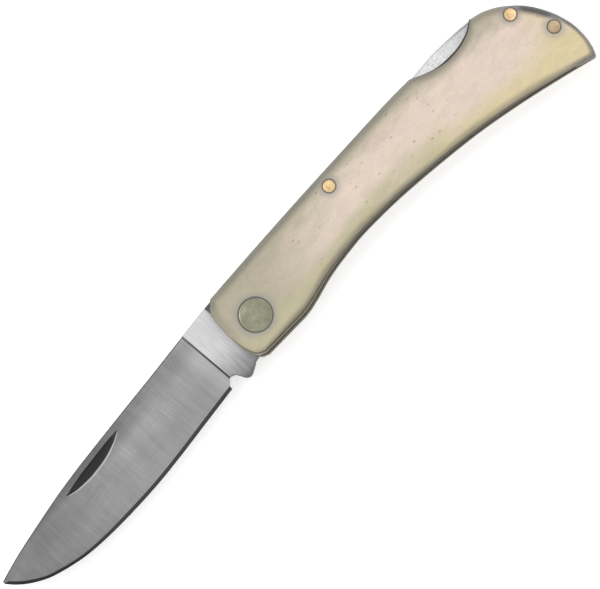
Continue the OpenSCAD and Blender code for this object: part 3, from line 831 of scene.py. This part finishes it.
def makeBone(look, fades):
    material, tree, shader = newMaterial("bone", {
        "Specular IOR Level": 0.5, "IOR": 1.54, "Coat Roughness": 0.18, "Subsurface Weight": 0.12,
        "Subsurface Radius": (0.0012, 0.0008, 0.0005), "Subsurface Scale": 1.0})
    at = bonePlaces(tree, look, fades)
    color = boneClouds(tree, look, fades, at)
    color, buttShade = boneRim(tree, look, fades, at, color)
    color, side = boneSide(tree, look, fades, at, color)
    color, joint = bonePins(tree, look, at, color)
    color, pores = bonePores(tree, look, fades, at, color)
    tree.links.new(color, shader.inputs["Base Color"])
    rough = plus(tree, fade(tree, at.mottle, 0.3, 0.7, 0.34, 0.46), times(tree, pores, 0.2))
    tree.links.new(plus(tree, rough, times(tree, side, 0.5), clamp=True), shader.inputs["Roughness"])
    glossy = minus(tree, 1.0, larger(tree, side, buttShade))
    tree.links.new(times(tree, glossy, 0.25), shader.inputs["Coat Weight"])
    grain = noise(tree, stretched(tree, at.vector, (0.5, 2.2, 2.2)), 1.0, 5.0, 0.6)
    sunk = plus(tree, times(tree, pores, 0.9), times(tree, joint, 2.0))
    addBump(tree, shader, minus(tree, grain, sunk), 0.35, 0.00006)
    return material

bone = makeBone(boneLook, boneFades)


steelLook = {
    "ground": (0.33, 0.33, 0.333, 1), "groundDark": (0.14, 0.14, 0.142, 1),
    # nick: nearly black, painted shade in the nail nick's hollow
    "bevel": (0.05, 0.05, 0.052, 1), "nick": (0.02, 0.02, 0.021, 1),
    "ricasso": (0.6, 0.598, 0.61, 1), "ricassoDark": (0.2, 0.2, 0.206, 1),
    "plunge": (0.05, 0.05, 0.052, 1),
    # the dark tip colour is painted shade at the front end between the blade and the bone
    "bar": (0.72, 0.72, 0.73, 1), "barDark": (0.3, 0.3, 0.305, 1), "barTipShade": (0.09, 0.09, 0.088, 1),
    # liner and spring: the metals' own olive tone, darkened further as painted shade for the shaded side band
    "liner": (0.13, 0.121, 0.088, 1), "linerDark": (0.06, 0.055, 0.04, 1),
    "spring": (0.085, 0.08, 0.06, 1), "springDark": (0.035, 0.032, 0.025, 1),
}

# where each fade of the steel starts and ends (mm), X unless a note says otherwise
steelFades = {
    "tip": (-82.0, -46.0),
    "spine": (3.5, 10.0),             # Y
    "spineAlong": (-65.0, -18.0),
    "heel": (-23.0, -17.5),
    "heelHigh": (4.0, 10.0),          # Y
    "plunge": (-17.1, -16.8),
    "plungeEnd": (-16.45, -16.35),
    "plungeHigh": (-5.0, 11.0),       # Y
    "bevelTip": (-84.0, -62.0),
    "ricasso": (-9.0, 4.5),           # Y
    "kick": (-9.0, -6.2),             # Y
    "ricassoStreaks": (-3.0, 6.0),    # Y
    "barTailShade": (79.0, 91.0),
    "barTipShade": (-4.6, 0.0),
}

# ground flanks: lines along Y over broad clouds, darker towards the tip and under the spine
def makeGroundSteel(look, fades):
    material, tree, shader = newMaterial("groundSteel", {"Metallic": 1.0, "Anisotropic": 0.4})
    vector = millimetres(tree)
    x, y = put(tree, "ShaderNodeSeparateXYZ", {0: vector}).outputs[:2]
    lines = useGroup(tree, grindLines, Fine=5.5, Length=0.12)
    cloud = noise(tree, stretched(tree, vector, (0.06, 0.16, 0.16)), 1.0, 3.0)
    tipward = fade(tree, x, *fades["tip"], 0.62, 0.06)
    spineward = times(tree, fade(tree, y, *fades["spine"]), fade(tree, x, *fades["spineAlong"], 0.9, 0.42))
    dark = plus(tree, larger(tree, tipward, spineward), wander(tree, cloud, 0.55), clamp=True)
    color = blendColor(tree, dark, look["ground"], look["groundDark"])
    color = shaded(tree, color, fade(tree, lines["Lines"], 0.25, 0.75, 0.9, 1.1))
    color = shaded(tree, color, fade(tree, lines["Bands"], 0.3, 0.7, 1.04, 0.93))
    heelward = fade(tree, x, *fades["heel"], 0.0, 0.4)
    heelward = times(tree, heelward, fade(tree, y, *fades["heelHigh"], 1.0, 0.45))
    color = blendColor(tree, heelward, color, look["ricasso"])
    scratch = useGroup(tree, strayScratches, Size=0.12, Amount=0.12)["Mask"]
    color = blendColor(tree, scratch, color, look["ricasso"])
    plunge = between(tree, x, fades["plunge"], fades["plungeEnd"])
    plunge = times(tree, plunge, fade(tree, y, *fades["plungeHigh"], 0.85, 0.55))
    color = blendColor(tree, plunge, color, look["plunge"])
    bevelColor = shaded(tree, look["bevel"], fade(tree, x, *fades["bevelTip"], 0.5, 1.0))
    # the nick and the spine's rounded corners take painted shade, the nick's lower lip a painted highlight
    for key, share, finish in (("bevelMask", 0.95, bevelColor), ("nickShadeMask", 0.96, look["nick"]),
                               ("spineShadeMask", 0.85, look["bevel"]), ("nickHighlightMask", 0.5, look["ricasso"])):
        mask = put(tree, "ShaderNodeAttribute", attribute_name=key).outputs["Fac"]
        color = blendColor(tree, times(tree, mask, share), color, finish)
    tree.links.new(color, shader.inputs["Base Color"])
    tree.links.new(fade(tree, lines["Lines"], 0.2, 0.8, 0.5, 0.36), shader.inputs["Roughness"])
    addBump(tree, shader, lines["Lines"], 0.2, 0.00002)
    return material

# unground ricasso and tang: brighter, streaked, darker towards the kick and on the walls
def makeRicassoSteel(look, fades):
    material, tree, shader = newMaterial("ricassoSteel", {"Metallic": 1.0, "Anisotropic": 0.3})
    y = put(tree, "ShaderNodeSeparateXYZ", {0: millimetres(tree)}).outputs[1]
    lines = useGroup(tree, grindLines, Fine=4.5, Length=0.16)
    lowered = fade(tree, y, *fades["ricasso"], 0.95, 0.0)
    color = blendColor(tree, lowered, look["ricasso"], look["ricassoDark"])
    color = blendColor(tree, fade(tree, y, *fades["kick"], 0.6, 0.0), color, look["bevel"])
    streaked = shaded(tree, color, fade(tree, lines["Lines"], 0.3, 0.7, 0.8, 1.16))
    color = blendColor(tree, fade(tree, y, *fades["ricassoStreaks"], 1.0, 0.45), color, streaked)
    scratch = useGroup(tree, strayScratches, Size=0.5, Amount=0.4)["Mask"]
    color = blendColor(tree, scratch, color, look["ricassoDark"])
    wall = put(tree, "ShaderNodeAttribute", attribute_name="wallMask").outputs["Fac"]
    color = blendColor(tree, times(tree, wall, 0.9), color, look["bevel"])
    tree.links.new(color, shader.inputs["Base Color"])
    tree.links.new(fade(tree, lines["Lines"], 0.2, 0.8, 0.5, 0.38), shader.inputs["Roughness"])
    addBump(tree, shader, lines["Lines"], 0.2, 0.00002)
    return material

# speckled steel of the bar, liners and spring, with painted shade at the front tip between the blade and the
# bone, on the bar's top corners and towards the tail
def makeBarSteel(name, look, fades, bright, dark):
    material, tree, shader = newMaterial(name, {"Metallic": 1.0})
    vector = millimetres(tree)
    x = put(tree, "ShaderNodeSeparateXYZ", {0: vector}).outputs[0]
    speck = noise(tree, stretched(tree, vector, (1.6, 2.6, 2.6)), 1.0, 5.0, 0.75)
    lines = useGroup(tree, grindLines, Fine=3.0, Length=0.5)["Lines"]
    color = blendColor(tree, fade(tree, speck, 0.48, 0.72, 0.0, 0.7), look[bright], look[dark])
    color = shaded(tree, color, fade(tree, lines, 0.25, 0.75, 0.86, 1.1))
    pits = useGroup(tree, smallSpecks, Size=0.5, Stretch=1.2, Sparse=0.75)["Mask"]
    color = blendColor(tree, times(tree, pits, 0.6), color, look[dark])
    # painted shade along the bar's rounded top corners, as a darker line
    spineShade = put(tree, "ShaderNodeAttribute", attribute_name="spineCornerShade").outputs["Fac"]
    color = blendColor(tree, times(tree, spineShade, 0.6), color, look[dark])
    # painted light and shade along X: brighter at the start of the thumb cut-out, darker towards the tail
    color = shaded(tree, color, fade(tree, x, *fades["barTailShade"], 1.1, 0.84))
    # painted shade at the front tip, between the blade and the bone
    color = blendColor(tree, fade(tree, x, *fades["barTipShade"], 0.95, 0.0), color, look["barTipShade"])
    tree.links.new(color, shader.inputs["Base Color"])
    tree.links.new(fade(tree, speck, 0.3, 0.7, 0.3, 0.48), shader.inputs["Roughness"])
    addBump(tree, shader, speck, 0.3, 0.00003)
    return material

headColors = {
    "metal": (0.285, 0.29, 0.205, 1),
    "dark": (0.19, 0.19, 0.13, 1),
    "bright": (0.62, 0.61, 0.48, 1),
}

# turned nickel-silver heads and brass pins share one build: soft stains, specks and scratches over the base
def makePinMetal(name, look, rough, spot):
    material, tree, shader = newMaterial(name, {"Metallic": 1.0})
    vector = millimetres(tree)
    stain = noise(tree, vector, 0.55, 4.0, 0.6)
    fine = noise(tree, vector, 4.0, 3.0, 0.6)
    color = blendColor(tree, fade(tree, stain, 0.4, 0.68, 0.0, 0.6), look["metal"], look["dark"])
    color = blendColor(tree, fade(tree, fine, 0.45, 0.7, 0.0, 0.3), color, look["dark"])
    scratch = useGroup(tree, strayScratches, Size=spot, Amount=0.8)["Mask"]
    color = blendColor(tree, scratch, color, look["bright"])
    pits = useGroup(tree, smallSpecks, Size=0.45, Stretch=1.1, Sparse=0.82)["Mask"]
    color = blendColor(tree, times(tree, pits, 0.45), color, look["dark"])
    tree.links.new(color, shader.inputs["Base Color"])
    tree.links.new(fade(tree, fine, 0.3, 0.7, rough - 0.05, rough + 0.1), shader.inputs["Roughness"])
    addBump(tree, shader, plus(tree, fine, scratch), 0.25, 0.00003)
    return material

brassColors = {
    "metal": (0.86, 0.63, 0.36, 1),
    "dark": (0.5, 0.3, 0.12, 1),
    "bright": (0.98, 0.85, 0.6, 1),
}
copperColors = {
    "metal": (0.5, 0.38, 0.24, 1),
    "dark": (0.34, 0.22, 0.13, 1),
    "bright": (0.8, 0.68, 0.5, 1),
}

groundSteel = makeGroundSteel(steelLook, steelFades)
ricassoSteel = makeRicassoSteel(steelLook, steelFades)
barSteel = makeBarSteel("barSteel", steelLook, steelFades, "bar", "barDark")
linerMetal = makeBarSteel("linerMetal", steelLook, steelFades, "liner", "linerDark")
springSteel = makeBarSteel("springSteel", steelLook, steelFades, "spring", "springDark")
nickelSilver = makePinMetal("nickelSilver", headColors, 0.34, 0.6)
brass = makePinMetal("brass", brassColors, 0.28, 1.2)
copper = makePinMetal("copperBrass", copperColors, 0.34, 1.2)
print("materials made")


def dress(piece, material, body, slotName, *replaced):
    piece.data.materials.append(material)
    if body:
        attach(piece, body)
    if replaced:
        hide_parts(*replaced)

dress(frontScale, bone, "handle", "bone", "front_scale")
dress(rearScale, bone, "handle", "bone", "rear_scale")
dress(frontLiner, linerMetal, "handle", "liner_metal", "front_liner")
dress(rearLiner, linerMetal, "handle", "liner_metal", "rear_liner")
dress(bladeGround, groundSteel, "blade", "blade_steel", "blade")
dress(bladeTang, ricassoSteel, "blade", "blade_steel", "blade")
dress(lockBar, barSteel, "lock_bar", "bar_steel", "lock_bar")
dress(frontHead, nickelSilver, "handle", "pivot_metal", "front_collar", "pivot_pin")
dress(rearHead, nickelSilver, "handle", "pivot_metal", "rear_collar")
dress(rockerPin, brass, "handle", "pin_brass", "rocker_pin")
dress(upperPin, brass, "handle", "pin_brass", "upper_butt_pin")
dress(lowerPin, copper, "handle", "pin_copper", "lower_butt_pin")
dress(backSpring, springSteel, None, "spring_steel", "back_spring")
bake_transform(backSpring)
print("pieces placed")


roomLook = {
    "floor": (0.95, 0.95, 0.95, 1),
    "floorZ": -0.0002,  # just under the knife (m)
    "floorHalf": 3,
    "glow": 0.33,
    "sky": 1.0,
    "keyWatts": 0.8,
    "fillWatts": 0.3,
}

floorMesh = bpy.data.meshes.new("floor")
corners = [(-1, -1), (1, -1), (1, 1), (-1, 1)]
floorMesh.from_pydata([(x * roomLook["floorHalf"], y * roomLook["floorHalf"], roomLook["floorZ"])
                       for x, y in corners], [], [(0, 1, 2, 3)])
floor = bpy.data.objects.new("floor", floorMesh)
bpy.context.scene.collection.objects.link(floor)
paper = newMaterial("floorPaper", {"Base Color": roomLook["floor"], "Roughness": 0.9,
                                   "Specular IOR Level": 0.1, "Emission Color": (1, 1, 1, 1),
                                   "Emission Strength": roomLook["glow"]})
floorMesh.materials.append(paper[0])

world = bpy.data.worlds.new("studio")
world.use_nodes = True
world.node_tree.nodes["Background"].inputs["Color"].default_value = (1, 1, 1, 1)
world.node_tree.nodes["Background"].inputs["Strength"].default_value = roomLook["sky"]
bpy.context.scene.world = world

def areaLight(name, place, target, size, watts):
    light = bpy.data.lights.new(name, "AREA")
    light.shape, light.size, light.energy = "DISK", size, watts
    obj = bpy.data.objects.new(name, light)
    obj.location = place
    obj.rotation_euler = (Vector(target) - Vector(place)).to_track_quat("-Z", "Y").to_euler()
    bpy.context.scene.collection.objects.link(obj)
    return obj

areaLight("keyLight", (-0.25, 0.35, 0.7), (0.01, 0, 0), 0.3, roomLook["keyWatts"])
areaLight("fillLight", (0.5, 0.2, 0.6), (0.03, 0, 0), 0.4, roomLook["fillWatts"])

# camera over the knife, turned so that it lies up to the right, leaning a little towards the edge side
viewLook = {
    "turn": 50.0,                    # degrees that the knife is turned in the view
    "lean": 7.0,                     # degrees off straight above
    "lens": 600.0,
    "sensor": 36.0,
    "wide": 153.85,                  # width of the view at the target (mm)
    "target": (11.3, -5.43, 12.1),
}

def placeCamera(look):
    camera = bpy.data.cameras.new("camera")
    camera.lens, camera.sensor_width = look["lens"], look["sensor"]
    camera.clip_start, camera.clip_end = 0.05, 10
    turn, lean = np.radians(look["turn"]), np.radians(look["lean"])
    right = Vector((np.cos(turn), -np.sin(turn) * np.cos(lean), -np.sin(turn) * np.sin(lean)))
    back = Vector((0, -np.sin(lean), np.cos(lean)))
    upward = back.cross(right)
    away = look["wide"] * look["lens"] / look["sensor"] * mm
    place = Vector(look["target"]) * mm + back * away
    obj = bpy.data.objects.new("camera", camera)
    obj.matrix_world = Matrix(((right.x, upward.x, back.x, place.x), (right.y, upward.y, back.y, place.y),
                               (right.z, upward.z, back.z, place.z), (0, 0, 0, 1)))
    bpy.context.scene.collection.objects.link(obj)
    bpy.context.scene.camera = obj

placeCamera(viewLook)
bpy.context.scene.view_settings.view_transform = "Standard"
bpy.context.scene.view_settings.look = "None"
print("room and camera set")
